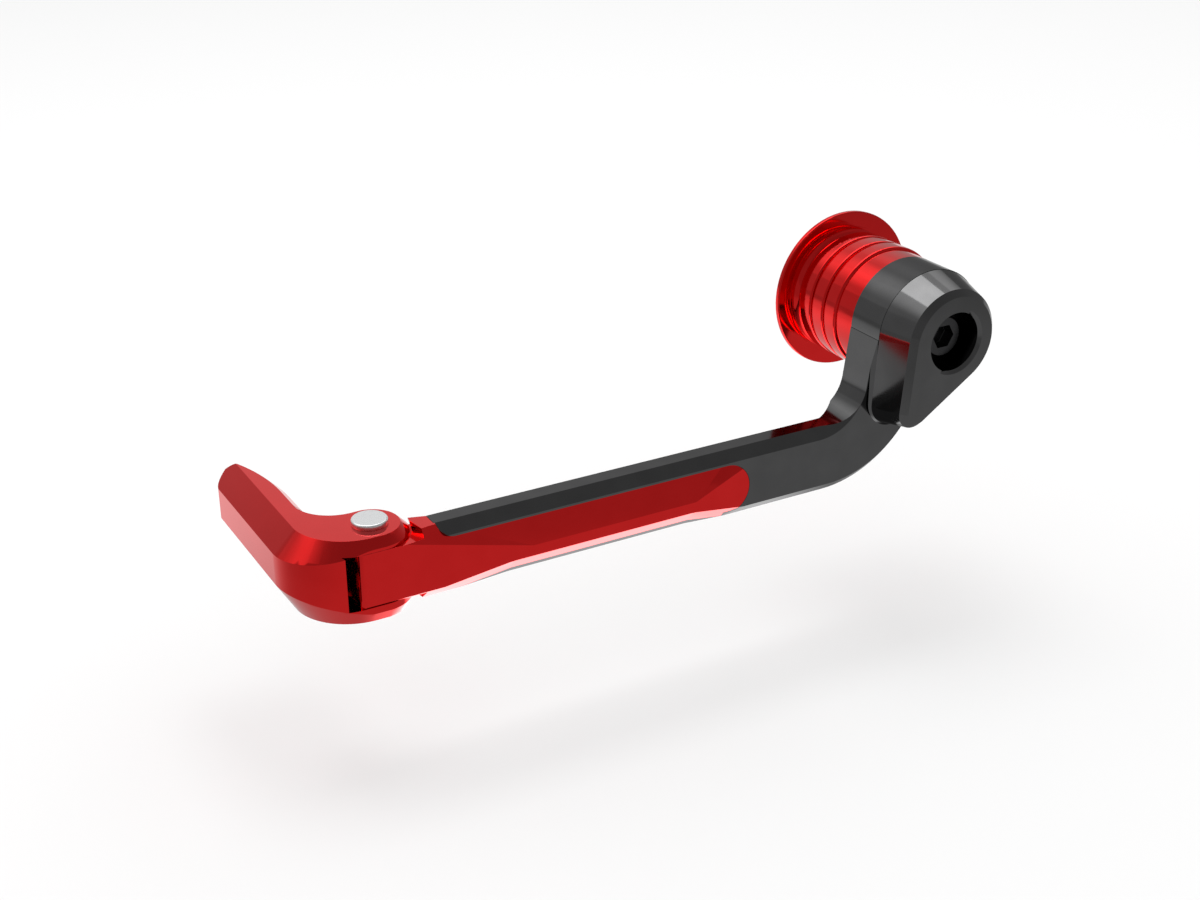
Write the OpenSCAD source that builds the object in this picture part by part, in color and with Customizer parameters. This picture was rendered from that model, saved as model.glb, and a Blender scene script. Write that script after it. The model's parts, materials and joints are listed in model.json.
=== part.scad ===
// Brake lever guard: a handlebar-end collar, a cranked arm with a let-in hinge bar,
// and a folding tip on a vertical hinge pin.
// The origin is on the handlebar axis in the collar's back face. Y is that axis and
// points along the handlebar, -Y is outboard, -X is where the arm runs, +Z is up.

/* [Collar] */
// Radius of the thin flange that closes the grip's end
flange_r = 19; // [16:0.5:24]
// Thickness of the flange at its rim
flange_t = 1.3; // [1:0.1:2]
// Radius of the low step in the flange's outer face
step_r = 15.4; // [15.3:0.1:15.9]
// Radius over the three ridges
ridge_r = 14.9; // [14.6:0.1:15.2]
// Radius at the bottom of the grooves between the ridges
groove_r = 13.9; // [13:0.1:14.2]
// Width of one ridge
ridge_w = 4.15; // [3.8:0.05:4.3]
// Distance from one ridge to the next
ridge_pitch = 4.7; // [4.5:0.05:4.9]
// Distance from the back face to the first ridge
ridge_start = 4.1; // [4:0.1:4.6]
// Radius of the nose where the arm seats on it
nose_r = 14.2; // [13.8:0.1:14.4]
// Length of the collar from its back face to the arm
collar_len = 23.2; // [20:0.1:27]

/* [Screw] */
// Nominal radius of the bar screw
screw_r = 3; // [2.5:0.5:3]
// Length of the bar screw under its head
screw_len = 45; // [40:5:50]
// Radius of the bar screw's head
head_r = 4.96; // [4.8:0.01:5.2]
// Width across the flats of the hexagon socket
socket_af = 5; // [4:0.5:5.5]
// Clearance round the bar screw in the collar and the arm
screw_clear = 0.3; // [0.1:0.05:0.4]
// Thickness of the washer under the head
washer_t = 1.6; // [1:0.1:1.8]
// Outer radius of the washer
washer_r = 6; // [5.6:0.1:6.4]

/* [Arm] */
// Thickness of the arm's plate
plate_t = 6; // [5:0.1:7]
// Height of the seat that the boss has on its back face
boss_rise = 3; // [2:0.1:4]
// Radius of the boss
boss_r = 14.2; // [13.9:0.1:14.5]
// Height of the raised pad under the end cap
pad_h = 1; // [0.6:0.1:1.4]
// Distance from the handlebar axis down to the bar's top face
bar_top = 19.3; // [18:0.1:21]
// Height of the bar
bar_h = 16.15; // [14:0.05:18]
// Width of the long chamfers on the bar
bar_chamfer = 2.3; // [1.5:0.1:2.5]
// Distance from the handlebar axis to the bar's free end
bar_end = 122.3; // [112:0.1:130]
// Radius of the concave bend on the upper side of the neck
bend_in_r = 9; // [7:0.5:11]
// Radius of the convex bend on the lower side of the neck
bend_out_r = 28.2; // [26:0.1:30]
// Height of the rail that stays over the hinge bar
rail_h = 2.9; // [2.4:0.1:3.6]

/* [End cap] */
// Thickness of the end cap
cap_t = 9.28; // [8:0.02:11]
// Slope of the end cap's side in degrees
cap_draft = 15.8; // [8:0.1:18]
// Depth of the bevel round the front of the end cap
cap_bevel = 1.5; // [1:0.1:2]
// Radius of the end cap's lower lobe
lobe_r = 5.8; // [5.4:0.1:6.2]
// Slope of the end cap's lower lobe in degrees
lobe_draft = 12; // [6:0.1:14]
// Radius of the recess for the screw's head
recess_r = 6.95; // [6.5:0.05:7.2]
// Width of the countersink on the recess
recess_bevel = 0.72; // [0.4:0.02:0.9]

/* [Hinge bar] */
// Thickness of the hinge bar where it lies in the arm
inlay_t = 2.3; // [2:0.1:3]
// Radius of the hinge bar's round end
inlay_r = 5.9; // [5.5:0.1:6.2]
// Distance from the handlebar axis to the centre of that round end
inlay_x = 53; // [45:0.5:60]
// Clearance round the hinge bar in the arm
inlay_clear = 0.1; // [0.05:0.01:0.2]
// Height of the hinge tongue
tongue_h = 12.25; // [11:0.05:13]
// Clearance between the tongue and each ear of the tip
ear_clear = 0.05; // [0.03:0.01:0.1]

/* [Tip] */
// Radius of the hinge eyes
eye_r = 7.9; // [7.5:0.1:8.2]
// Distance from the handlebar axis to the hinge pin
pin_x = 133.8; // [128:0.1:140]
// Length of the tip from the hinge pin to its nose
tip_len = 42.5; // [34:0.5:46]
// Distance from the hinge pin to the tip's far side
tip_reach = 18.7; // [17:0.1:21]
// Thickness of the tip's finger
tip_w = 10; // [9:0.1:11]
// Thickness of the upper ear
ear_top_t = 2.4; // [2:0.1:3]
// Thickness of the lower ear
ear_low_t = 3.8; // [3:0.05:4]

/* [Hinge pin] */
// Radius of the hinge pin
pin_r = 3; // [2.5:0.1:3.2]
// Running clearance of the pin in the tongue
pin_clear = 0.05; // [0.03:0.01:0.08]
// Radius of the hinge pin's head
pin_head_r = 3.73; // [3.5:0.01:4]
// Height of the hinge pin's head
pin_head_h = 1.2; // [0.8:0.1:1.5]
// Wire radius of the return spring
wire_r = 0.5; // [0.4:0.05:0.6]

/* [Hidden] */
$fn = 96;
eps = 0.05;
far = 60;

// Roundness of the ridges
ridge_round = 0.6;

// Planes across the handlebar axis
arm_in = -collar_len;
bar_in = arm_in - boss_rise;
bar_out = bar_in - plate_t;
pad_out = bar_out - pad_h;
cap_front = pad_out - cap_t;
inlay_in = bar_out + inlay_t;

// Levels of the bar, the tongue and the tip
top_z = -bar_top;
low_z = top_z - bar_h;
rail_z = top_z - rail_h;
mid_z = (top_z + low_z) / 2;
tongue_top = mid_z + tongue_h / 2 - ear_clear;
tongue_low = mid_z - tongue_h / 2 + ear_clear;
ear_top_in = mid_z + tongue_h / 2;
ear_low_in = mid_z - tongue_h / 2;
tip_top = ear_top_in + ear_top_t;
tip_low = ear_low_in - ear_low_t;

// The lobe of the boss and of the end cap, in the plane across the handlebar axis
lobe = [-8.3, -15.2];

// Neck of the arm
neck_lean = 7.5;
in_z = top_z + bend_in_r;
in_x = -(boss_r + bend_in_r - sin(neck_lean) * in_z) / cos(neck_lean);
out_x = -25.2;
out_z = low_z + bend_out_r;
fade_grow = 3.68;
fade_turn = 22;
neck_r = boss_r + 11.3;
neck_run = 5.5;

// Hinge
hinge = [-pin_x, bar_out + eye_r];
tongue_end = -pin_x - 5.7;
tongue_corner = 1.2;
shoulder_x = -pin_x + 7.5;
shoulder_r = eye_r + 0.5;
shoulder_out_x = shoulder_x + 1.1;
ear_lean = 0.26;
waist_tilt = 29;
horn_from = 118;
wall_r = 11.2;
lug_r = 9.4;
notch_r = 9.15;
notch_h = 1.75;
stop_gap = 2;
lug_from = 140;
lug_to = 200;
stop_reach = 0.25;
stop_drop = 0.1;
pocket_r = 5.4;
pocket_h = 5;
sink_r = 3.9;
sink_h = 1.4;

// Tip
reach_x = hinge[0] - tip_reach;
inner_x = reach_x + tip_w;
nose_y = hinge[1] + tip_len;
nose_round = 3.4;
nose = [reach_x + nose_round, nose_y - nose_round];
elbow_r = 13.9;
fillet_r = 7.1;
curve_r = 47.75;
curve_x = inner_x - curve_r;
curve_y = nose[1] - sqrt(pow(curve_r - nose_round, 2) - pow(nose[0] - curve_x, 2));
nose_turn = atan2(nose[1] - curve_y, nose[0] - curve_x);
edge_top = 1.75;
edge_low = 1.3;
side_top = 4.6;
side_low = 3.9;
steep_low = 1.73;
// each sloping cut runs a little over its neighbour and crosses it, so that none only touches
cross = 0.02;
overrun = 1.4;

// Small screws
m3_r = 1.5;
m3_head_r = 2.9;
m3_head_h = 1.6;
m3_socket_af = 2;
fit = 0.02;
cap_screw_len = 14;
cap_screw_circle = 9.9;
bar_inlay_screw_len = 5;
cap_inset = 0.1;
washer_sink = 0.2;
socket_depth = 3;
screw_end_r = screw_r - 0.05;
pin_screw_len = 8;
pin_screw_head_r = 3.7;
pin_screw_head_h = 1.3;

// Draws a profile of the plane across the handlebar axis between two planes
module across(y_near, y_far) {
    translate([0, y_near, 0]) rotate([90, 0, 0]) linear_extrude(y_near - y_far) children();
}

// A cone or cylinder along the handlebar axis from one plane to another
module turned(x, z, y_near, r_near, y_far, r_far) {
    translate([x, y_near, z]) rotate([90, 0, 0]) cylinder(h = y_near - y_far, r1 = r_near, r2 = r_far);
}

// Unit vector at an angle
function dir(a) = [cos(a), sin(a)];

// Angle of the outward normal where one outer tangent touches two circles
function tangent_angle(c, r1, r2, side) =
    atan2(c[1], c[0]) + side * acos((r1 - r2) / norm(c));

// Drop-shaped outline of the boss and the end cap
module drop_outline(grow = 0) {
    a = tangent_angle(lobe, boss_r, lobe_r, 1);
    b = tangent_angle(lobe, boss_r, lobe_r, -1);
    r1 = boss_r + grow;
    r2 = lobe_r + grow;
    circle(r = r1);
    translate(lobe) circle(r = r2);
    polygon([r1 * dir(a), lobe + r2 * dir(a), lobe, lobe + r2 * dir(b), r1 * dir(b), [0, 0]]);
}

// Space on the upper side of the neck, with its round bend
module over_neck_outline() {
    n = [-cos(neck_lean), sin(neck_lean)];
    translate([in_x, in_z]) circle(r = bend_in_r);
    polygon([[in_x, in_z], [in_x, in_z] - bend_in_r * n, boss_r * n + far * [n[1], -n[0]],
             [-far * 4, far], [-far * 4, top_z], [in_x, top_z]]);
}

// Outline of the arm seen along the handlebar axis
module arm_outline() {
    drop_outline();
    difference() {
        intersection() {
            translate([out_x, out_z]) circle(r = bend_out_r, $fn = 144);
            translate([out_x, low_z]) square([far, -low_z]);
        }
        over_neck_outline();
    }
    translate([-bar_end, low_z]) square([bar_end + out_x, bar_h]);
}

// Outline of the hinge bar where it lies in the arm
module inlay_outline(grow = 0) {
    corner_r = rail_h + 0.9;
    corner_x = -bar_end + corner_r;
    difference() {
        union() {
            translate([-bar_end - 5, low_z - 5])
                square([bar_end + 5 - inlay_x, rail_z + grow - low_z + 5]);
            translate([-inlay_x, rail_z - inlay_r]) circle(r = inlay_r + grow);
        }
        translate([-bar_end - 6, low_z - 6]) square([5, 30]);
    }
    difference() {
        translate([-bar_end - 1, rail_z - eps]) square([corner_r + 1, rail_h + 1]);
        translate([corner_x, rail_z + corner_r]) circle(r = corner_r - grow);
        translate([corner_x, rail_z]) translate([0, grow]) square([corner_r, far]);
    }
}

// Half space outboard of a sloping plane through two points of the bar's outer face
module sloping_cut(p, q, tilt, up) {
    a = atan2(q[1] - p[1], q[0] - p[0]);
    translate([p[0], bar_out, p[1]]) rotate([0, -a, 0]) rotate([-up * tilt, 0, 0])
        translate([-far * 2, -far, up > 0 ? 0 : -far]) cube([far * 4, far, far]);
}

// Collar, turned about the handlebar axis; its half section stands on the back face
module mount_collar() {
    bore = screw_r + screw_clear;
    rim = 0.35;
    step_h = 0.35;
    sweep_r = ridge_start - flange_t - step_h + 0.2;
    ridges_end = ridge_start + 2 * ridge_pitch + ridge_w;
    color([0.72, 0.05, 0.07])
    rotate([90, 0, 0])
    rotate_extrude()
    difference() {
        union() {
            // flange with a rounded rim and a low step
            translate([0, rim]) square([flange_r, flange_t - 2 * rim]);
            square([flange_r - rim, flange_t]);
            translate([flange_r - rim, rim]) circle(r = rim, $fn = 32);
            translate([flange_r - rim, flange_t - rim]) circle(r = rim, $fn = 32);
            square([step_r, flange_t + step_h]);
            // hollow sweep from the step to the first ridge
            difference() {
                square([step_r - 0.5, ridge_start]);
                translate([step_r + 0.45, ridge_start + 0.2]) circle(r = sweep_r);
            }
            // body under the ridges
            square([groove_r, ridges_end + 1]);
            for (i = [0 : 2])
                translate([0, ridge_start + i * ridge_pitch]) ridge_profile();
            // nose that runs down to the arm
            polygon([[0, ridges_end - 1], [ridge_r - ridge_round, ridges_end - 1],
                     [ridge_r - ridge_round, ridges_end], [nose_r, collar_len], [0, collar_len]]);
        }
        translate([-1, -1]) square([bore + 1, collar_len + 2]);
    }
}

// Half section of one ridge, with rounded corners
module ridge_profile() {
    c = ridge_round;
    square([ridge_r - c, ridge_w]);
    translate([0, c]) square([ridge_r, ridge_w - 2 * c]);
    translate([ridge_r - c, c]) circle(r = c, $fn = 48);
    translate([ridge_r - c, ridge_w - c]) circle(r = c, $fn = 48);
}

module guard_arm() {
    fade_r = bend_in_r + fade_grow;
    fade_x = in_x - fade_grow * cos(fade_turn);
    fade_z = in_z + fade_grow * sin(fade_turn);
    cone_h = 6;
    color([0.13, 0.13, 0.14])
    difference() {
        union() {
            across(bar_in, bar_out) arm_outline();
            // thicker boss and neck, which slope down to the bar
            intersection() {
                across(arm_in, bar_in - eps) arm_outline();
                turned(0, 0, arm_in, neck_r, bar_in - eps, neck_r + neck_run);
            }
            // pad under the end cap, with a sloping edge
            intersection() {
                across(bar_out + eps, pad_out) arm_outline();
                hull() {
                    turned(0, 0, bar_out + eps, boss_r + pad_h + eps, pad_out, boss_r + 0.1);
                    turned(lobe[0], lobe[1], bar_out + eps, lobe_r + pad_h + eps,
                           pad_out, lobe_r + 0.1);
                }
            }
        }
        // long chamfer on the upper edge, which fades out on the neck
        translate([-far * 3, bar_out, top_z - bar_chamfer]) rotate([-45, 0, 0])
            translate([0, -far, 0]) cube([far * 3 + fade_x, far, far]);
        intersection() {
            turned(fade_x, fade_z, bar_out + cone_h, fade_r - cone_h, bar_out - 2, fade_r + 2);
            across(bar_in, bar_out - 2)
                translate([fade_x, low_z]) square([far / 2, fade_z - low_z]);
        }
        // long chamfer on the lower edge
        translate([-far * 3, bar_out, low_z + bar_chamfer]) rotate([45, 0, 0])
            translate([0, -far, -far]) cube([far * 3 + out_x, far, far]);
        difference() {
            across(bar_in, pad_out - 1) translate([out_x, low_z - 1])
                square([far, out_z + far / 4 - low_z]);
            turned(out_x, out_z, bar_in + 1, bend_out_r + plate_t - bar_chamfer + 1,
                   pad_out - 2, bend_out_r - bar_chamfer - pad_h - 2);
            across(bar_in + 1, pad_out - 2) drop_outline();
        }
        // rebate for the hinge bar
        across(inlay_in, bar_out - 2) inlay_outline(inlay_clear);
        // holes for the bar screw and its washer
        turned(0, 0, 0, screw_r + screw_clear, pad_out - 1, screw_r + screw_clear);
        turned(0, 0, bar_out - washer_sink + washer_t, washer_r + fit, pad_out - 1, washer_r + fit);
        cap_screw_places() m3_hole(-pad_out + arm_in + 1);
        hinge_bar_screw_places() m3_hole(plate_t - inlay_t + 1);
    }
}

module end_cap() {
    side = cap_t - cap_bevel;
    r_foot = boss_r - cap_inset;
    l_foot = lobe_r - cap_inset;
    r_mid = r_foot - side * tan(cap_draft);
    l_mid = l_foot - side * tan(lobe_draft);
    color([0.12, 0.12, 0.13])
    difference() {
        union() {
            hull() {
                turned(0, 0, pad_out, r_foot, pad_out - side, r_mid);
                turned(lobe[0], lobe[1], pad_out, l_foot, pad_out - side, l_mid);
            }
            hull() {
                turned(0, 0, pad_out - side + eps, r_mid, cap_front, r_mid - cap_bevel * 0.9);
                turned(lobe[0], lobe[1], pad_out - side + eps, l_mid,
                       cap_front, l_mid - cap_bevel * 0.9);
            }
        }
        turned(0, 0, pad_out + 1, recess_r, cap_front - 1, recess_r);
        // countersink round the lower right part of the recess only
        intersection() {
            turned(0, 0, cap_front + recess_bevel, recess_r, cap_front - 1,
                   recess_r + recess_bevel + 1);
            across(cap_front + 2, cap_front - 2)
                polygon([[0, 0], far * dir(-118), far * dir(-60), far * dir(0), far * dir(62)]);
        }
        cap_screw_places() cylinder(r = m3_r + fit, h = cap_screw_len + 1);
    }
}

// Places along the handlebar axis of the two screws that hold the end cap
module cap_screw_places() {
    for (a = [70, 250])
        translate([cap_screw_circle * cos(a), arm_in, cap_screw_circle * sin(a)])
            rotate([90, 0, 0]) children();
}

// Places of the screws that hold the hinge bar in the arm
module hinge_bar_screw_places() {
    for (i = [0 : 2])
        translate([-inlay_x - 5 - i * (bar_end - inlay_x - 15) / 2, bar_in, mid_z])
            rotate([90, 0, 0]) children();
}

// Clearance hole with a countersink, drilled along +Z from the origin
module m3_hole(depth) {
    translate([0, 0, -eps]) cylinder(r = m3_r + fit, h = depth + eps);
    translate([0, 0, -eps]) cylinder(r1 = m3_head_r + eps + fit, r2 = m3_r + fit,
                                     h = m3_head_h + eps);
}

// Countersunk screw with a hexagon socket, its head flush with the origin
module m3_screw(len) {
    difference() {
        union() {
            cylinder(r1 = m3_head_r, r2 = m3_r, h = m3_head_h);
            cylinder(r = m3_r, h = len);
        }
        translate([0, 0, -1]) cylinder(r = m3_socket_af / sqrt(3), h = 2, $fn = 6);
    }
}

module head_washer() {
    y_near = bar_out - washer_sink + washer_t;
    color([0.16, 0.16, 0.17])
    difference() {
        turned(0, 0, y_near, washer_r, bar_out - washer_sink, washer_r);
        turned(0, 0, 0, screw_r + screw_clear, pad_out, screw_r + screw_clear);
    }
}

// Socket-head screw; its end stands out of the collar's back face into the handlebar
module bar_screw() {
    seat = bar_out - washer_sink;
    head_h = 2 * screw_r;
    edge = 0.5;
    color([0.1, 0.1, 0.11])
    difference() {
        union() {
            turned(0, 0, seat + screw_len, screw_end_r, 0, screw_end_r);
            turned(0, 0, eps, screw_r - 0.5, -2, screw_r - 0.5);
            turned(0, 0, -1.5, screw_r, seat - eps, screw_r);
            turned(0, 0, seat, head_r, seat - head_h + edge, head_r);
            turned(0, 0, seat - head_h + edge, head_r, seat - head_h, head_r - edge);
        }
        translate([0, seat - head_h + socket_depth, 0]) rotate([90, 0, 0])
            cylinder(r = socket_af / sqrt(3), h = socket_depth + 1, $fn = 6);
    }
}

module cap_screws() {
    color([0.25, 0.25, 0.27]) cap_screw_places() m3_screw(cap_screw_len);
}

module hinge_bar_screws() {
    color([0.25, 0.25, 0.27]) hinge_bar_screw_places() m3_screw(bar_inlay_screw_len);
}

// A sector of a ring about the hinge pin
module ring_sector(r_in, r_out, a, b) {
    difference() {
        intersection() {
            circle(r = r_out);
            polygon([[0, 0], 40 * dir(a), 40 * dir((a + b) / 2), 40 * dir(b)]);
        }
        circle(r = r_in);
    }
}

// Plan of the hinge tongue
module tongue_plan() {
    c = tongue_corner;
    x0 = tongue_end - hinge[0];
    circle(r = eye_r);
    translate([x0 + c, -eye_r]) square([-x0 - c, 2 * eye_r]);
    translate([x0, -eye_r + c]) square([-x0, 2 * eye_r - 2 * c]);
    translate([x0 + c, -eye_r + c]) circle(r = c);
    translate([x0 + c, eye_r - c]) circle(r = c);
}

module hinge_bar() {
    block_in = bar_in + 1.2;
    crease = mid_z - 1.6;
    waist = mid_z - 4;
    waist_left = -pin_x + 28.5;
    waist_right = -inlay_x - 9;
    chamfer_z = low_z + bar_chamfer;
    root_x = -bar_end - inlay_clear;
    tail = -pin_x + 4.4;
    ear_room = 20;
    color([0.7, 0.05, 0.07])
    difference() {
        union() {
            // inlay along the bar
            intersection() {
                across(inlay_in, bar_out) inlay_outline();
                across(inlay_in + 1, bar_out - 1) translate([shoulder_out_x, low_z])
                    square([pin_x, bar_h]);
            }
            // full-thickness block between the inlay and the hinge
            translate([0, 0, low_z]) linear_extrude(bar_h)
                polygon([[root_x, bar_out], [root_x, bar_in], [shoulder_x, block_in],
                         [shoulder_out_x, bar_out]]);
            // tongue between the ears
            translate([0, 0, tongue_low]) linear_extrude(tongue_top - tongue_low) {
                translate(hinge) tongue_plan();
                polygon([[root_x, bar_out], [root_x, bar_in],
                         [shoulder_x - 3, block_in + 3.5], [hinge[0], bar_out]]);
            }
            // horn on the hidden corner of the tongue, which the tip's lug rests on
            translate([hinge[0], hinge[1], tongue_low]) linear_extrude(notch_h)
                ring_sector(eye_r - 2, wall_r - stop_reach, horn_from, lug_from - stop_gap);
        }
        // room for the round ears above and below
        translate([hinge[0], hinge[1], tongue_top])
            cylinder(r1 = shoulder_r, r2 = shoulder_r - ear_lean * ear_room, h = ear_room);
        translate([hinge[0], hinge[1], tongue_low - ear_room]) cylinder(r = shoulder_r, h = ear_room);
        // sloping facets over the crease
        intersection() {
            sloping_cut([tail, tongue_top], [-pin_x + 32.8, crease], 25.5, 1);
            sloping_cut([-pin_x + 32.8, crease], [-inlay_x - 8, crease], 10.1, 1);
            sloping_cut([-inlay_x - 8, crease], [-inlay_x + 5.5, crease + 5.8], 20, 1);
        }
        // sloping facets under the waist
        intersection() {
            sloping_cut([-pin_x + 13, chamfer_z], [waist_left, waist], waist_tilt, -1);
            sloping_cut([waist_left, waist], [waist_right, waist], waist_tilt, -1);
            sloping_cut([waist_right, waist], [-inlay_x + 4, chamfer_z], waist_tilt, -1);
        }
        translate([-far * 3, bar_out, chamfer_z]) rotate([45, 0, 0])
            translate([0, -far, -far]) cube([far * 3, far, far]);
        // bore for the pin, and the spring's pocket with the notch that its leg runs out by
        translate([hinge[0], hinge[1], tongue_low - 1]) {
            cylinder(r = pin_r + pin_clear, h = tongue_h + 2);
            cylinder(r = pocket_r, h = pocket_h + 1);
            linear_extrude(notch_h + 1) ring_sector(pocket_r - 0.4, far / 3, lug_from, 231);
            linear_extrude(notch_h + 1) ring_sector(notch_r, far / 3, lug_from, 300);
        }
        hinge_bar_screw_places() cylinder(r = m3_r + fit, h = bar_inlay_screw_len + 0.1);
    }
}

module fold_tip() {
    color([0.78, 0.08, 0.1])
    union() {
        difference() {
            translate([0, 0, tip_low]) linear_extrude(tip_top - tip_low) tip_plan();
            // room for the tongue, and the round wall behind it
            translate([hinge[0], hinge[1], ear_low_in])
                cylinder(r = wall_r, h = ear_top_in - ear_low_in);
            translate([hinge[0], hinge[1] - far / 2, ear_low_in])
                cube([far, far, ear_top_in - ear_low_in]);
            // holes for the pin and for the head of the screw under it
            translate([hinge[0], hinge[1], tip_low - 1])
                cylinder(r = pin_r + fit, h = tip_top - tip_low + 2);
            translate([hinge[0], hinge[1], tip_low - 1]) cylinder(r = sink_r, h = sink_h + 1);
            outer_edge_cuts(tip_top, edge_top, side_top, 1);
            inner_edge_cuts(tip_top, edge_top);
            mirror_z(tip_low) outer_edge_cuts(tip_low, edge_low, side_low, steep_low);
        }
        // lug that rests on the tongue's horn
        translate([hinge[0], hinge[1], ear_low_in - eps])
            linear_extrude(notch_h - stop_drop + eps)
                ring_sector(lug_r, wall_r + 0.3, lug_from, lug_to);
    }
}

// Mirrors in the level z
module mirror_z(z) {
    translate([0, 0, 2 * z]) mirror([0, 0, 1]) children();
}

// Plan of the tip at its full width
module tip_plan() {
    elbow_x = reach_x + elbow_r;
    elbow_y = hinge[1] - eye_r + elbow_r;
    web_y = hinge[1] + eye_r;
    // hinge eye and the web beside it
    translate(hinge) circle(r = eye_r);
    translate([elbow_x, hinge[1] - eye_r]) square([hinge[0] - elbow_x, 2 * eye_r]);
    // elbow
    intersection() {
        translate([elbow_x, elbow_y]) circle(r = elbow_r);
        translate([reach_x, hinge[1] - eye_r]) square([elbow_r, elbow_r]);
    }
    // inner corner with its fillet
    difference() {
        translate([inner_x - 1, elbow_y - 1])
            square([fillet_r + 1, web_y + fillet_r - elbow_y + 1]);
        translate([inner_x + fillet_r, web_y + fillet_r]) circle(r = fillet_r);
    }
    // finger with a curved inner side and a round nose
    intersection() {
        translate([reach_x, elbow_y]) square([tip_w, nose_y - elbow_y]);
        union() {
            translate([curve_x, curve_y]) circle(r = curve_r, $fn = 360);
            translate([reach_x, elbow_y]) square([tip_w, curve_y - elbow_y]);
        }
        union() {
            polygon([nose, nose + tip_w * dir(nose_turn), [inner_x + tip_w, elbow_y],
                     [reach_x, elbow_y], [reach_x, nose[1]]]);
            translate(nose) circle(r = nose_round + cross);
        }
    }
}

// Cuts that slope the outer edges of the tip's upper face: edge is their width at the
// hinge, side their width along the finger, steep their height over their width
module outer_edge_cuts(z, edge, side, steep) {
    round_r = elbow_r - edge;
    cx = reach_x + side + round_r;
    cy = hinge[1] - eye_r + elbow_r;
    h = side * steep + 1;
    lean = atan(1 / steep);
    // finger
    translate([reach_x + side + cross, cy - overrun, z]) rotate([0, lean, 0])
        translate([-far, 0, -far / 2]) cube([far, far * 1.5, far]);
    // elbow
    difference() {
        translate([cx - far, cy - far, z - h]) cube([far, far, h + 1]);
        cone_to(cx, cy, z, round_r, h + 1, steep);
    }
    // web beside the hinge
    translate([cx - overrun, hinge[1] - eye_r + edge + cross, z]) rotate([-lean, 0, 0])
        translate([0, -far, -far / 2]) cube([hinge[0] - cx + 2 * overrun, far, far]);
    // hinge eye
    difference() {
        translate([hinge[0], hinge[1] - far, z - h]) cube([far, 2 * far, h + 1]);
        cone_to(hinge[0], hinge[1], z, eye_r - edge, h + 1, steep);
    }
}

// Cuts that slope the inner edges of the tip's upper face
module inner_edge_cuts(z, edge) {
    // web beside the hinge
    translate([inner_x + fillet_r, hinge[1] + eye_r - edge - cross, z]) rotate([45, 0, 0])
        translate([0, 0, -far / 2]) cube([hinge[0] - inner_x - fillet_r + overrun, far, far]);
    // fillet between web and finger
    intersection() {
        translate([inner_x + fillet_r, hinge[1] + eye_r + fillet_r, z - edge - 1])
            cylinder(r1 = fillet_r - 1 + 2 * cross, r2 = fillet_r + edge + 1 + 2 * cross, h = edge + 2);
        translate([inner_x + fillet_r + overrun - far, hinge[1] + eye_r + fillet_r - far, z - far / 2])
            cube([far, far, far]);
    }
    // straight stretch of the finger
    translate([inner_x - edge, hinge[1] + eye_r + fillet_r, z]) rotate([0, -45, 0])
        translate([0, 0, -far / 2]) cube([far / 4, curve_y - hinge[1] - eye_r - fillet_r, far]);
    // curved stretch of the finger
    difference() {
        translate([reach_x, curve_y, z - edge - 1]) cube([tip_w + 1, far, edge + 2]);
        cone_to(curve_x, curve_y, z, curve_r - edge, edge + 2, 1);
    }
    // round nose
    difference() {
        translate([nose[0], nose[1], z - edge - 1]) linear_extrude(edge + 2)
            polygon([[0, 0], tip_w * dir(nose_turn), [tip_w, tip_w], [-tip_w, tip_w], [-tip_w, 0]]);
        cone_to(nose[0], nose[1], z, nose_round + cross - edge, edge + 2, 1);
    }
}

// A cone with radius r at level z, growing downwards over a height h
module cone_to(x, y, z, r, h, steep) {
    over = 1.4;
    translate([x, y, z - h - 1])
        cylinder(r1 = r + (h + 1) / steep, r2 = r - over / steep, h = h + 1 + over, $fn = 180);
}

module hinge_pin() {
    edge = 0.25;
    color([0.8, 0.8, 0.82])
    translate([hinge[0], hinge[1], 0])
    difference() {
        union() {
            translate([0, 0, tip_low + sink_h]) cylinder(r = pin_r, h = tip_top - tip_low - sink_h);
            translate([0, 0, tip_top]) cylinder(r = pin_head_r, h = pin_head_h - edge);
            translate([0, 0, tip_top + pin_head_h - edge])
                cylinder(r1 = pin_head_r, r2 = pin_head_r - edge, h = edge);
        }
        translate([0, 0, tip_low]) cylinder(r = m3_r + fit, h = pin_screw_len + sink_h + 1);
    }
}

// Button-head screw that holds the pin from below
module pin_screw() {
    color([0.3, 0.3, 0.32])
    translate([hinge[0], hinge[1], tip_low + sink_h])
    difference() {
        union() {
            translate([0, 0, -pin_screw_head_h]) cylinder(r = pin_screw_head_r, h = pin_screw_head_h);
            translate([0, 0, -eps]) cylinder(r = m3_r, h = pin_screw_len);
        }
        translate([0, 0, -pin_screw_head_h - 1]) cylinder(r = m3_socket_af / sqrt(3), h = 1.9, $fn = 6);
    }
}

// Torsion spring round the pin, in the pocket under the tongue
module return_spring() {
    coil_r = 4.3;
    turns = 3;
    lift = wire_r + 0.3;
    leg_turn = 22;
    leg_len = 8;
    color([0.6, 0.6, 0.62])
    translate([hinge[0], hinge[1], tongue_low]) {
        rotate_extrude()
            for (i = [0 : turns])
                translate([coil_r, lift + i * 1.9 * wire_r]) circle(r = wire_r, $fn = 24);
        rotate([0, 0, leg_turn]) translate([0, coil_r, lift]) rotate([0, -90, 0])
            cylinder(r = wire_r, h = leg_len, $fn = 24);
    }
}

mount_collar();
guard_arm();
end_cap();
head_washer();
bar_screw();
cap_screws();
hinge_bar();
hinge_bar_screws();
fold_tip();
hinge_pin();
pin_screw();
return_spring();
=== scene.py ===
# %% [markdown]
# A brake lever guard for a handlebar's end. A red turned collar sits against the grip,
# a black cranked arm runs from it past the lever, a red hinge bar is let into the arm,
# and a red tip folds on an upright steel pin at the far end.
# The solids come ready from the frame, so this lesson is about what makes machined and
# anodised metal look real: small broken edges, fine tool marks, and a calm studio.

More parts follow.
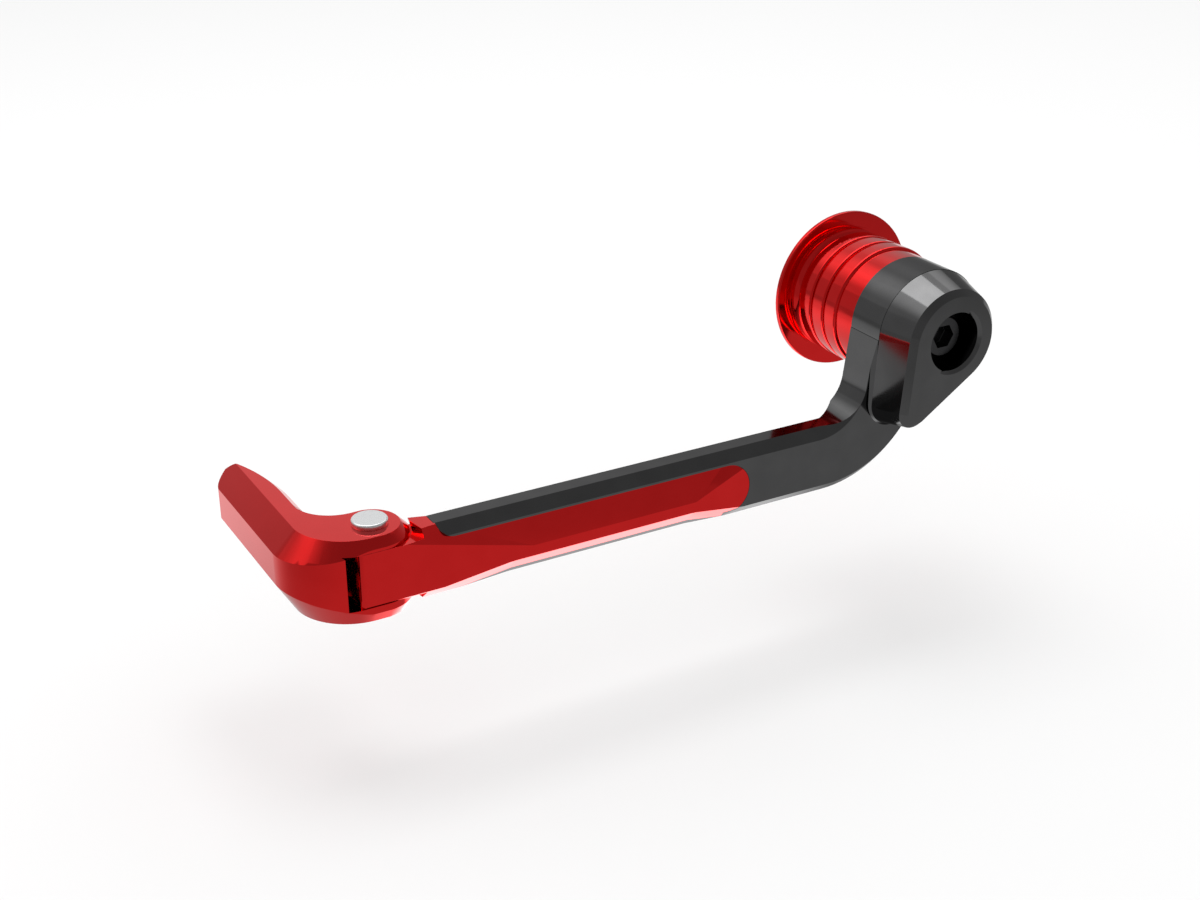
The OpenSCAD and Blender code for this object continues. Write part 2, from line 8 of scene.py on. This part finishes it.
# %% Load the frame
import bpy
import json
import math
from mathutils import Matrix, Vector


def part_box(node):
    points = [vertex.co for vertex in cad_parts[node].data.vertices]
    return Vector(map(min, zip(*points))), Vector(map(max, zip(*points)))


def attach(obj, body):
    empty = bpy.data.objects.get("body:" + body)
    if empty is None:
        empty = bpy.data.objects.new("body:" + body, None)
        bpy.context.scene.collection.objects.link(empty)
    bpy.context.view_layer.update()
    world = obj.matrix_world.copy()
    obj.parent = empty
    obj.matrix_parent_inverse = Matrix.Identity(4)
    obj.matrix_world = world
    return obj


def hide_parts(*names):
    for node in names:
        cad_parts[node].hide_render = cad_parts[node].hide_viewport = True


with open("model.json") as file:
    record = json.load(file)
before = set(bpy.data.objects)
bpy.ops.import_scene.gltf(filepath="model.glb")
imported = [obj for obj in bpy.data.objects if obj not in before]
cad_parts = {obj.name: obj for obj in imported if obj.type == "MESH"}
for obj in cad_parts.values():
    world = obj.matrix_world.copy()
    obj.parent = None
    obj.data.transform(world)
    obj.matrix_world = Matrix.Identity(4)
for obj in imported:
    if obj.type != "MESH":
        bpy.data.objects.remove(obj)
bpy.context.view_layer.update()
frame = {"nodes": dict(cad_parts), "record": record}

MM = 0.001
bpy.ops.object.select_all(action="DESELECT")

# %% [markdown]
# The camera comes first, because everything else is judged through it. The picture was
# taken with a short telephoto lens from above the outer side of the guard. The numbers
# are an eye point in millimetres and three turns in degrees, worked out from the round
# flange, the straight bar and the upright pin.

# %% Camera
EYE = Vector((-244.80, -312.66, 138.93)) * MM
YAW, PITCH, ROLL = math.radians(29.651), math.radians(24.892), math.radians(-0.122)
LENS, SENSOR_WIDTH = 51.449, 36.0
NEAREST_SEEN = 10 * MM

ahead = Vector((math.sin(YAW) * math.cos(PITCH), math.cos(YAW) * math.cos(PITCH), -math.sin(PITCH)))
level = Vector((math.cos(YAW), -math.sin(YAW), 0))
upright = level.cross(ahead)
right = level * math.cos(ROLL) + upright * math.sin(ROLL)
up = upright * math.cos(ROLL) - level * math.sin(ROLL)

camera_data = bpy.data.cameras.new("camera")
camera_data.lens = LENS
camera_data.sensor_width = SENSOR_WIDTH
camera_data.clip_start = NEAREST_SEEN
camera = bpy.data.objects.new("camera", camera_data)
bpy.context.scene.collection.objects.link(camera)
turn = Matrix((right, up, -ahead)).transposed()
camera.matrix_world = Matrix.Translation(EYE) @ turn.to_4x4()
bpy.context.scene.camera = camera
bpy.context.scene.view_settings.view_transform = "Standard"
print("camera looks along", [round(v, 3) for v in ahead])

# %% [markdown]
# Shader sums are easier to read as Python than as a web of nodes. This small class holds
# one socket, and its operators add Math nodes, so `1 - grain * 0.2` builds two of them.

# %% A socket with operators
class Value:
    def __init__(self, tree, socket):
        self.tree = tree
        self.socket = socket

    def node(self, kind, settings=None, **inputs):
        return add_node(self.tree, kind, settings, **inputs)

    def math(self, operation, *values):
        made = add_node(self.tree, "ShaderNodeMath", {"operation": operation})
        for slot, value in zip(made.inputs, values):
            plug(self.tree, value, slot)
        return Value(self.tree, made.outputs[0])

    def __add__(self, other):
        return self.math("ADD", self, other)

    def __sub__(self, other):
        return self.math("SUBTRACT", self, other)

    def __rsub__(self, other):
        return self.math("SUBTRACT", other, self)

    def __mul__(self, other):
        return self.math("MULTIPLY", self, other)

    __radd__ = __add__
    __rmul__ = __mul__

    def clamp(self):
        held = self.math("MAXIMUM", self, 0.0)
        return held.math("MINIMUM", held, 1.0)

    def between(self, low, high):
        """Runs smoothly from 0 at low to 1 at high."""
        made = add_node(self.tree, "ShaderNodeMapRange", {"interpolation_type": "SMOOTHSTEP"},
                        Value=self, From_Min=low, From_Max=high)
        return Value(self.tree, made.outputs["Result"])


def plug(tree, value, socket):
    if isinstance(value, Value):
        tree.links.new(value.socket, socket)
    else:
        socket.default_value = value


def add_node(tree, kind, settings=None, **inputs):
    made = tree.nodes.new(kind)
    for name, value in (settings or {}).items():
        setattr(made, name, value)
    for name, value in inputs.items():
        plug(tree, value, made.inputs[name.replace("_", " ")])
    return made


print("a Value makes Math nodes for +, - and *")

# %% [markdown]
# Most finishes here start the same way: an empty material with one Principled shader and
# the Object coordinates, which stay with the piece when it moves.

# %% Starting a finish
def empty_tree(data):
    """The node tree of a material or a world, without the nodes that it starts with."""
    data.use_nodes = True
    data.node_tree.nodes.clear()
    return data.node_tree


def start_finish(name):
    material = bpy.data.materials.new(name)
    tree = empty_tree(material)
    output = tree.nodes.new("ShaderNodeOutputMaterial")
    shader = tree.nodes.new("ShaderNodeBsdfPrincipled")
    tree.links.new(shader.outputs[0], output.inputs[0])
    place = Value(tree, tree.nodes.new("ShaderNodeTexCoord").outputs["Object"])
    return material, tree, shader, place


def noise(place, size, detail=3.0, rough=0.5):
    """Soft random field with blotches about size metres across."""
    made = place.node("ShaderNodeTexNoise", None, Vector=place, Scale=1 / size, Detail=detail,
                      Roughness=rough)
    return Value(place.tree, made.outputs[0])


def mix_colours(field, low, high):
    made = add_node(field.tree, "ShaderNodeMix", {"data_type": "RGBA"})
    plug(field.tree, field, made.inputs[0])
    made.inputs[6].default_value = (*low, 1)
    made.inputs[7].default_value = (*high, 1)
    return Value(field.tree, made.outputs[2])


def bump(height, strength, distance):
    made = add_node(height.tree, "ShaderNodeBump", None, Height=height, Strength=strength,
                    Distance=distance)
    return Value(height.tree, made.outputs[0])


def axes_of(place):
    made = place.node("ShaderNodeSeparateXYZ", None, Vector=place)
    return [Value(place.tree, made.outputs[i]) for i in range(3)]


print("noise, mixed colours and bump are ready for the finishes")

# %% [markdown]
# Anodised aluminium is dyed metal: the reflection itself is coloured. The surface under
# the dye was milled or turned and then lightly blasted, so it has a grain finer than a
# quarter of a millimetre, a faint cloudiness over some millimetres, and tool marks.
# Turned pieces carry rings round their axis, milled ones carry long shallow lines.

# %% Anodised finish
MARKS_TO_AXIS = {"turned": 1, "milled": 2}
MARK_SIZE = {"turned": 0.22 * MM, "milled": 0.3 * MM}
SEAL_ROUGHNESS = 0.06
CLOUD_SIZE, GRAIN_SIZE, RELIEF_DEPTH = 6 * MM, 0.16 * MM, 0.006 * MM


def lines_along(axis):
    """A point that only changes along one axis, so that noise on it draws straight lines."""
    made = axis.node("ShaderNodeCombineXYZ", None, X=axis)
    return Value(axis.tree, made.outputs[0])


def anodised(name, colour, deep, roughness, marks="none", seal=0.0, rim=1.0):
    """Dyed metal. `seal` is its clear skin, and `rim` dims what it mirrors at a flat angle."""
    material, tree, shader, place = start_finish(name)
    cloud = noise(place, CLOUD_SIZE, 4.0)
    grain = noise(place, GRAIN_SIZE, 2.0)
    lines = grain
    if marks in MARKS_TO_AXIS:
        axis = axes_of(place)[MARKS_TO_AXIS[marks]]
        lines = noise(lines_along(axis), MARK_SIZE[marks], 2.0)
    tone = (cloud * 0.7 + grain * 0.3).between(0.3, 0.7)
    tree.links.new(mix_colours(tone, deep, colour).socket, shader.inputs["Base Color"])
    shader.inputs["Metallic"].default_value = 1.0
    shader.inputs["Specular Tint"].default_value = (rim, rim, rim, 1.0)
    shader.inputs["Coat Weight"].default_value = seal
    shader.inputs["Coat Roughness"].default_value = SEAL_ROUGHNESS
    spread = roughness + (cloud - 0.5) * 0.03 + (lines - 0.5) * 0.04
    tree.links.new(spread.clamp().socket, shader.inputs["Roughness"])
    relief = grain * 0.6 + lines * 0.4
    tree.links.new(bump(relief, 0.05, RELIEF_DEPTH).socket, shader.inputs["Normal"])
    return material


# %% [markdown]
# Red and black each get a finish for the main faces and one for the broken edges. The
# black is weaker at a flat angle, so that the facet under the arm stays grey there. The
# arm's broken edges get a far darker black: painted shade, standing in for the dark
# shadow line under the bar's black strip.

# %% Red and black
RED, RED_DEEP = (0.87, 0.013, 0.013), (0.83, 0.01, 0.01)
RED_EDGE = (0.88, 0.02, 0.022)
BLACK, BLACK_DEEP = (0.126, 0.126, 0.127), (0.112, 0.112, 0.113)
BLACK_EDGE = (0.14, 0.14, 0.142)
# Painted shade: the arm's edges are dyed far darker than its faces, in place of a shadow line.
PAINTED_SHADE, PAINTED_SHADE_DEEP = (0.05, 0.05, 0.051), (0.045, 0.045, 0.045)

finish = {
    "red_turned": anodised("red_anodised_turned", RED, RED_DEEP, 0.09, "turned", seal=0.25),
    "red_milled": anodised("red_anodised_milled", RED, RED_DEEP, 0.1, "milled", seal=0.3),
    "red_edge": anodised("red_anodised_edge", RED_EDGE, RED, 0.11, seal=0.3),
    "black_milled": anodised("black_anodised_milled", BLACK, BLACK_DEEP, 0.1, "milled", rim=0.6),
    "black_edge": anodised("black_anodised_edge", BLACK_EDGE, BLACK, 0.11, rim=0.6),
    "black_painted_shade": anodised("black_anodised_painted_shade_edge", PAINTED_SHADE, PAINTED_SHADE_DEEP, 0.3, rim=0.3),
}
print("anodised finishes:", sorted(finish))

# %% [markdown]
# The steel parts are of two kinds: a bright turned pin, and screws with a black oxide
# skin. Bright steel is nearly neutral and keeps its facing rings round the pin's axis.

# %% Steel finishes
STEEL_LOW, STEEL_HIGH = (0.84, 0.85, 0.86), (0.95, 0.96, 0.97)
OXIDE_LOW, OXIDE_HIGH = (0.05, 0.05, 0.053), (0.085, 0.084, 0.085)
PIN_ROUGHNESS, WIRE_ROUGHNESS, OXIDE_ROUGHNESS = 0.28, 0.2, 0.3
RING_SIZE, STEEL_GRAIN = 0.12 * MM, 0.2 * MM
OXIDE_CLOUD, OXIDE_GRAIN, OXIDE_DEPTH = 1.5 * MM, 0.12 * MM, 0.012 * MM


def bright_steel(name, centre, roughness):
    material, tree, shader, place = start_finish(name)
    moved = place.node("ShaderNodeVectorMath", {"operation": "SUBTRACT"})
    plug(tree, place, moved.inputs[0])
    moved.inputs[1].default_value = centre
    x, y = axes_of(Value(tree, moved.outputs[0]))[:2]
    radius = x.math("SQRT", x * x + y * y)
    rings = noise(lines_along(radius), RING_SIZE, 2.0)
    grain = noise(place, STEEL_GRAIN, 2.0)
    tone = rings * 0.6 + grain * 0.4
    colour = mix_colours(tone, STEEL_LOW, STEEL_HIGH)
    tree.links.new(colour.socket, shader.inputs["Base Color"])
    shader.inputs["Metallic"].default_value = 1.0
    spread = roughness + (grain - 0.5) * 0.1
    tree.links.new(spread.clamp().socket, shader.inputs["Roughness"])
    tree.links.new(bump(tone, 0.05, RELIEF_DEPTH).socket, shader.inputs["Normal"])
    return material


def black_oxide(name):
    material, tree, shader, place = start_finish(name)
    cloud = noise(place, OXIDE_CLOUD)
    grain = noise(place, OXIDE_GRAIN, 2.0)
    colour = mix_colours(cloud, OXIDE_LOW, OXIDE_HIGH)
    tree.links.new(colour.socket, shader.inputs["Base Color"])
    shader.inputs["Metallic"].default_value = 1.0
    spread = OXIDE_ROUGHNESS + (cloud - 0.5) * 0.2
    tree.links.new(spread.clamp().socket, shader.inputs["Roughness"])
    tree.links.new(bump(grain, 0.2, OXIDE_DEPTH).socket, shader.inputs["Normal"])
    return material


pin_centre = sum((Vector(corner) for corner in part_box("hinge_pin")), Vector()) / 2
finish["pin_steel"] = bright_steel("bright_steel_pin", pin_centre, PIN_ROUGHNESS)
finish["spring_steel"] = bright_steel("bright_steel_spring", pin_centre, WIRE_ROUGHNESS)
finish["black_steel"] = black_oxide("black_oxide_steel")
print("pin stands at", [round(v / MM, 1) for v in pin_centre], "mm")

# %% [markdown]
# The solids are worked on with a few steps that come back again and again: select one
# piece, run steps on its whole mesh in edit mode, apply a modifier, cut the piece with
# another one, or cut it off at a plane.

# %% Selecting and cutting
def only(piece):
    bpy.ops.object.select_all(action="DESELECT")
    piece.select_set(True)
    bpy.context.view_layer.objects.active = piece


def edit_whole(piece, *steps):
    """Runs each step in edit mode with the whole mesh selected."""
    only(piece)
    bpy.ops.object.mode_set(mode="EDIT")
    for step in steps:
        bpy.ops.mesh.select_all(action="SELECT")
        step()
    bpy.ops.object.mode_set(mode="OBJECT")


def apply_modifier(piece, name, kind, **settings):
    modifier = piece.modifiers.new(name, kind)
    for setting, value in settings.items():
        setattr(modifier, setting, value)
    bpy.ops.object.modifier_apply(modifier=modifier.name)


def cut_away(piece, cutter):
    """Takes the cutter's volume out of the piece with an exact Boolean."""
    only(piece)
    apply_modifier(piece, "cut", "BOOLEAN", operation="DIFFERENCE", solver="EXACT", object=cutter)


def bisect_piece(piece, point, normal):
    """Cuts off what lies beyond a plane, on the side its normal points to, and closes it."""
    edit_whole(piece, lambda: bpy.ops.mesh.bisect(plane_co=point, plane_no=normal,
                                                  clear_outer=True, use_fill=True))


def place_in_mesh():
    bpy.ops.object.transform_apply(location=True, rotation=True, scale=True)


def remove(piece):
    bpy.data.objects.remove(piece, do_unlink=True)


print("cutting tools are ready")

# %% [markdown]
# Under the bar one long facet runs across both solids: its upper part lies on the red
# bar and its lower part on the black arm behind, so the arm shows as a thin grey line
# below. A wedge cuts it. Two slanting planes end the wedge, so that it fades out.

# %% Wedge under the bar
BAR_OUT = -32.2 * MM
BAR_LOW = -35.45 * MM
WAIST_Z = -31.33 * MM
WAIST_LEFT, WAIST_RIGHT = -105.3 * MM, -62 * MM
WEDGE_SLOPE = 0.83
FADE_LEFT, FADE_RIGHT = -0.113, 0.135
WEDGE_CENTRE = (-88 * MM, BAR_OUT, BAR_LOW - 4 * MM)
WEDGE_SIZE = (90 * MM, 14 * MM, 16 * MM)


def make_wedge():
    bpy.ops.mesh.primitive_cube_add(size=1, location=WEDGE_CENTRE, scale=WEDGE_SIZE)
    wedge = bpy.context.object
    wedge.name = "lower_wedge"
    place_in_mesh()
    for x, fade in ((WAIST_RIGHT, 0), (WAIST_RIGHT, FADE_RIGHT), (WAIST_LEFT, FADE_LEFT)):
        bisect_piece(wedge, (x, BAR_OUT, WAIST_Z), (fade * WEDGE_SLOPE, 1, WEDGE_SLOPE))
    return wedge


lower_wedge = make_wedge()
print("wedge has", len(lower_wedge.data.polygons), "faces")

# %% [markdown]
# The cap's left side leans out toward its foot by a few degrees, enough to mirror the
# far tip. A straight lattice moves only the lower rim: all of its shift is at the foot.

# %% Lean of the cap's side
CAGE_CENTRE = Vector((0, -38, -10)) * MM
CAGE_SIZE = Vector((38, 20, 19)) * MM
LEAN = 1.35 * MM
RIM_TOP, RIM_RADIUS = -0.5 * MM, 9.5 * MM


def lean_left_side(piece):
    rim = piece.vertex_groups.new(name="lower_rim")
    rim.add([v.index for v in piece.data.vertices
             if v.co.z < RIM_TOP and math.hypot(v.co.x, v.co.z) > RIM_RADIUS], 1.0, "REPLACE")
    bpy.ops.object.add(type="LATTICE", location=CAGE_CENTRE)
    cage = bpy.context.object
    cage.scale = CAGE_SIZE
    for axis in "uvw":
        setattr(cage.data, "points_" + axis, 2)
        setattr(cage.data, "interpolation_type_" + axis, "KEY_LINEAR")
    for point in cage.data.points:
        if point.co.x < 0 and point.co.z < 0:
            point.co_deform.x -= LEAN / CAGE_SIZE.x
    only(piece)
    apply_modifier(piece, "leaning_side", "LATTICE", object=cage, vertex_group=rim.name)
    piece.vertex_groups.clear()
    remove(cage)


print("the cap's foot will lean out by", round(LEAN / MM, 2), "mm")

# %% [markdown]
# A machined part never has a perfectly sharp edge: it is broken by a tenth or two of a
# millimetre, and that narrow band catches the light and draws the part's outline. Each
# solid is copied, its loose triangles are joined and flat areas made one face, and then
# a Bevel modifier rounds only the edges that are really corners. Afterwards each normal
# follows the largest face round it, which keeps the wide facets flat.

# %% Broken edges
body_of = {node: body for body, nodes in frame["record"]["behaviour"]["bodies"].items()
           for node in nodes}
CORNER = math.radians(28)
FLAT = math.radians(0.4)
SAME_POINT, SLIVER = 0.002 * MM, 0.001 * MM


def hand_over(piece, node):
    """The piece stands for its CAD node and rides on that node's body."""
    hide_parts(node)
    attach(piece, body_of[node])


def broken_edges(node, main, edge, width, smooth):
    mesh = frame["nodes"][node].data.copy()
    piece = bpy.data.objects.new(node + "_finished", mesh)
    bpy.context.scene.collection.objects.link(piece)
    edit_whole(piece, lambda: bpy.ops.mesh.remove_doubles(threshold=SAME_POINT),
               lambda: bpy.ops.mesh.dissolve_limited(angle_limit=FLAT))
    mesh.materials.clear()
    mesh.materials.append(finish[main])
    mesh.materials.append(finish[edge])
    if node in ("hinge_bar", "guard_arm"):
        cut_away(piece, lower_wedge)
    if node == "end_cap":
        lean_left_side(piece)
    apply_modifier(piece, "broken_edges", "BEVEL", width=width, segments=2, limit_method="ANGLE",
                   angle_limit=CORNER, material=1, use_clamp_overlap=True)
    edit_whole(piece, lambda: bpy.ops.mesh.remove_doubles(threshold=SLIVER),
               lambda: bpy.ops.mesh.dissolve_degenerate(threshold=SLIVER))
    bpy.ops.object.shade_smooth_by_angle(angle=math.radians(smooth))
    apply_modifier(piece, "flat_faces_lead", "WEIGHTED_NORMAL", mode="FACE_AREA", weight=100,
                   keep_sharp=True)
    hand_over(piece, node)
    print(node, "has", len(mesh.polygons), "faces after its edges were broken")


# %% [markdown]
# The list below gives every solid its finish, the width of its broken edge in
# millimetres, and the angle in degrees up to which its faces shade as one. The bar's is
# small, so that facets that meet at a shallow angle stay crisp.

# %% Finish the solids
EDGES = (
    ("mount_collar", "red_turned", "red_edge", 0.12, 30),
    # The arm's edges take the painted shade.
    ("guard_arm", "black_milled", "black_painted_shade", 0.08, 32),
    ("end_cap", "black_milled", "black_edge", 0.24, 30),
    ("head_washer", "black_steel", "black_steel", 0.08, 30),
    ("bar_screw", "black_steel", "black_steel", 0.08, 30),
    ("cap_screws", "black_steel", "black_steel", 0.06, 30),
    ("hinge_bar", "red_milled", "red_edge", 0.12, 9),
    ("hinge_bar_screws", "black_steel", "black_steel", 0.06, 30),
    ("fold_tip", "red_milled", "red_edge", 0.16, 20),
    ("hinge_pin", "pin_steel", "pin_steel", 0.08, 30),
    ("pin_screw", "black_steel", "black_steel", 0.06, 30),
)
for node, main, edge, width, smooth in EDGES:
    broken_edges(node, main, edge, width * MM, smooth)
remove(lower_wedge)

# %% [markdown]
# A thread and a spring are the same form: a small closed profile that turns round an
# axis while it climbs. The Screw modifier does both, and its two open ends are filled.

# %% Wound pieces
STEPS_PER_TURN = 48


def wound(name, axis, turn, place, turned, corners, size, pitch, turns):
    """A ring profile of some corners, wound up a pitch for each turn round a main axis."""
    bpy.ops.object.select_all(action="DESELECT")
    bpy.ops.mesh.primitive_circle_add(vertices=corners, radius=size, location=place,
                                      rotation=turned, fill_type="NOTHING")
    piece = bpy.context.object
    piece.name = name
    place_in_mesh()
    apply_modifier(piece, "winding", "SCREW", axis=axis, angle=turn, screw_offset=pitch,
                   iterations=turns, steps=STEPS_PER_TURN, render_steps=STEPS_PER_TURN,
                   use_smooth_shade=False)
    return piece


def close_ends(piece):
    edit_whole(piece, lambda: bpy.ops.mesh.fill_holes(sides=0),
               lambda: bpy.ops.mesh.normals_make_consistent(inside=False))


print("winding takes", STEPS_PER_TURN, "steps a turn")

# %% [markdown]
# The screw's end is turned down to the root of the thread by a sleeve that is cut away
# from it, and a three-cornered ridge is wound round what is left.

# %% Thread of the bar screw
THREAD_PITCH, THREAD_TURNS = 1.0 * MM, 11
ROOT_R, RIDGE_R, RIDGE_SIZE = 2.43 * MM, 2.45 * MM, 0.5 * MM
THREAD_START, RIDGE_START = 0.8 * MM, 0.9 * MM
SLEEVE_R, SLEEVE_LENGTH = 4 * MM, 12.6 * MM
CORE_LENGTH, CORE_MIDDLE = 20 * MM, 7 * MM
ROD_SIDES = 64
THREAD_SMOOTH = math.radians(30)


def rod(radius, length, middle):
    """A round rod along Y."""
    bpy.ops.object.select_all(action="DESELECT")
    bpy.ops.mesh.primitive_cylinder_add(vertices=ROD_SIDES, radius=radius, depth=length,
                                        location=(0, middle, 0), rotation=(math.pi / 2, 0, 0))
    place_in_mesh()
    return bpy.context.object


def cut_thread():
    shank = bpy.data.objects["bar_screw_finished"]
    sleeve = rod(SLEEVE_R, SLEEVE_LENGTH, THREAD_START + SLEEVE_LENGTH / 2)
    core = rod(ROOT_R, CORE_LENGTH, CORE_MIDDLE)
    cut_away(sleeve, core)
    cut_away(shank, sleeve)
    remove(core)
    remove(sleeve)
    ridge = wound("thread_ridge", "Y", 2 * math.pi, (RIDGE_R, RIDGE_START, 0),
                  (0, 0, -math.pi / 2), 3, RIDGE_SIZE, THREAD_PITCH, THREAD_TURNS)
    close_ends(ridge)
    ridge.data.materials.append(finish["black_steel"])
    only(shank)
    ridge.select_set(True)
    bpy.ops.object.join()
    bpy.ops.object.shade_smooth_by_angle(angle=THREAD_SMOOTH)
    print("screw with its thread:", len(shank.data.polygons), "faces")


cut_thread()

# %% [markdown]
# The spring's wire is wound round the pin from the point where its leg starts. The leg
# is that same end of the wire, extruded straight on. It stays inside the CAD's spring.

# %% Coils of the return spring
WIRE_R, COIL_R = 0.45 * MM, 4.3 * MM
COIL_PITCH, COIL_TURNS = 0.95 * MM, 3
LEG_LENGTH, LEG_TURN = 8 * MM, math.radians(112)
FIRST_COIL = 0.5 * MM
WIRE_CORNERS, WIRE_SMOOTH = 12, math.radians(40)


def wind_spring():
    low_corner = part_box("return_spring")[0]
    spring = wound("return_spring_coils", "Z", -2 * math.pi, (COIL_R, 0, 0), (math.pi / 2, 0, 0),
                   WIRE_CORNERS, WIRE_R, COIL_PITCH, COIL_TURNS)
    for vertex in spring.data.vertices:
        x, y, z = vertex.co
        vertex.select = x > 0 and abs(y) < SLIVER and z < COIL_PITCH / 2
    bpy.ops.object.mode_set(mode="EDIT")
    bpy.ops.mesh.extrude_region_move(TRANSFORM_OT_translate={"value": (0, LEG_LENGTH, 0)})
    bpy.ops.object.mode_set(mode="OBJECT")
    close_ends(spring)
    spring.rotation_euler[2] = LEG_TURN
    spring.location = (pin_centre.x, pin_centre.y, low_corner[2] + FIRST_COIL)
    place_in_mesh()
    bpy.ops.object.shade_smooth_by_angle(angle=WIRE_SMOOTH)
    spring.data.materials.append(finish["spring_steel"])
    hand_over(spring, "return_spring")
    print("spring has", len(spring.data.polygons), "faces")


wind_spring()

# %% [markdown]
# The guard hangs above a wide pale floor, as in a catalogue picture. The floor is white
# to the camera and keeps a faint shadow. Metal shows what stands round it, so the floor
# and the sky behave as a studio for reflections: dim in front and above, bright behind.
# One short strip of floor under the bar glows, and lights the long facet below it.

# %% Floor
FLOOR_Z, FLOOR_SIZE = -72 * MM, 8
PAPER = (0.8, 0.8, 0.8, 1)
GLOW, GLOW_FAR, GLOW_BACK, GLOW_UNDER = 0.5, -0.17, 0.45, 1.9


def floor_glow(place):
    """How bright the floor looks to a ray from a shiny surface. Its places are in metres."""
    x, y = axes_of(place)[:2]
    away = x.math("SQRT", x * x + y * y)
    back = y.between(0.0, 0.12) * x.between(-0.6, -0.2)
    under = y.between(-0.05, -0.025) * (1 - y.between(0.005, 0.05))
    under = under * x.between(-0.14, -0.1) * (1 - x.between(-0.02, 0.01))
    return GLOW + away.between(0.18, 0.3) * GLOW_FAR + back * GLOW_BACK + under * GLOW_UNDER


def make_floor():
    bpy.ops.mesh.primitive_plane_add(size=FLOOR_SIZE, location=(0, 0, FLOOR_Z))
    floor = bpy.context.object
    floor.name = "floor"
    material = bpy.data.materials.new("pale_floor")
    tree = empty_tree(material)
    output = tree.nodes.new("ShaderNodeOutputMaterial")
    light_path = tree.nodes.new("ShaderNodeLightPath")
    mirrored = Value(tree, light_path.outputs["Is Glossy Ray"])
    place = Value(tree, tree.nodes.new("ShaderNodeTexCoord").outputs["Object"])
    paper = add_node(tree, "ShaderNodeBsdfDiffuse", None, Color=PAPER)
    shine = add_node(tree, "ShaderNodeEmission", None, Strength=floor_glow(place))
    chosen = add_node(tree, "ShaderNodeMixShader", None, Fac=mirrored)
    tree.links.new(paper.outputs[0], chosen.inputs[1])
    tree.links.new(shine.outputs[0], chosen.inputs[2])
    tree.links.new(chosen.outputs[0], output.inputs[0])
    floor.data.materials.append(material)
    print("floor lies at", round(floor.location.z / MM), "mm")


make_floor()

# %% [markdown]
# The sky is white to the camera and lights the scene evenly. To shiny rays it is grey,
# lighter toward the back, with four soft round patches. Each row gives a patch's compass
# direction and height, the angles where it is full and where it ends, all in degrees,
# and its brightness.

# %% Sky
SKY_GREY, SKY_BACK, SKY_HIGH, SKY_LIGHT = 0.34, 0.15, -0.05, 1.32
PATCHES = (
    (8, 20, 10, 38, 0.38),
    (-38, 60, 2, 34, 1.3),
    (55, 58, 2, 32, 1.05),
    (144, 16, 6, 20, 0.07),
)


def patch(direction, azimuth, height, full, none):
    """A round soft patch of sky: 1 inside `full` degrees of its centre, 0 beyond `none`."""
    turned, lift = math.radians(azimuth), math.radians(height)
    made = direction.node("ShaderNodeVectorMath", {"operation": "DOT_PRODUCT"})
    plug(direction.tree, direction, made.inputs[0])
    made.inputs[1].default_value = (math.sin(turned) * math.cos(lift),
                                    math.cos(turned) * math.cos(lift), math.sin(lift))
    closeness = Value(direction.tree, made.outputs["Value"])
    return closeness.between(math.cos(math.radians(none)), math.cos(math.radians(full)))


def mirrored_sky(direction):
    """How bright the sky looks to a ray from a shiny surface."""
    y, z = axes_of(direction)[1:]
    back = y.between(-0.4, 0.4)
    high = z.between(0.4, 0.72)
    shown = SKY_GREY + back * SKY_BACK + (1 - back) * high * SKY_HIGH
    for azimuth, height, full, none, extra in PATCHES:
        shown = shown + patch(direction, azimuth, height, full, none) * extra
    return shown


def make_sky():
    world = bpy.data.worlds.new("studio")
    bpy.context.scene.world = world
    tree = empty_tree(world)
    output = tree.nodes.new("ShaderNodeOutputWorld")
    background = tree.nodes.new("ShaderNodeBackground")
    direction = Value(tree, tree.nodes.new("ShaderNodeTexCoord").outputs["Generated"])
    light_path = tree.nodes.new("ShaderNodeLightPath")
    seen = Value(tree, light_path.outputs["Is Camera Ray"])
    mirrored = Value(tree, light_path.outputs["Is Glossy Ray"])
    shown = mirrored_sky(direction)
    strength = seen + mirrored * shown + (1 - seen - mirrored) * SKY_LIGHT
    tree.links.new(strength.socket, background.inputs["Strength"])
    tree.links.new(background.outputs[0], output.inputs[0])
    print("sky has", len(PATCHES), "patches")


make_sky()

# %% [markdown]
# Three soft boxes give the long highlights on the round collar and neck. They are area
# lamps, because a lamp with a real size shows as a soft patch in polished metal. Each
# row has the place, the point it is turned to and its width and height, in metres, and
# its power in watts.

# %% Lamps
SOFT_BOXES = (
    ("top_box", (-0.05, 0.22, 0.9), (-0.05, 0, 0), (0.7, 0.45), 2.2),
    ("back_left_box", (-0.7, 0.6, 0.9), (0, 0, 0), (1.1, 1.1), 0.5),
    ("right_box", (0.8, 0.5, 0.8), (0, 0, 0), (0.5, 0.5), 0.4),
)


def soft_box(name, place, aim, size, power):
    data = bpy.data.lights.new(name, "AREA")
    data.shape = "RECTANGLE"
    data.size, data.size_y = size
    data.energy = power
    lamp = bpy.data.objects.new(name, data)
    bpy.context.scene.collection.objects.link(lamp)
    lamp.location = place
    lamp.rotation_mode = "QUATERNION"
    lamp.rotation_quaternion = (Vector(aim) - Vector(place)).to_track_quat("-Z", "Y")
    lamp.visible_camera = False


for row in SOFT_BOXES:
    soft_box(*row)
print("lamps:", [row[0] for row in SOFT_BOXES])
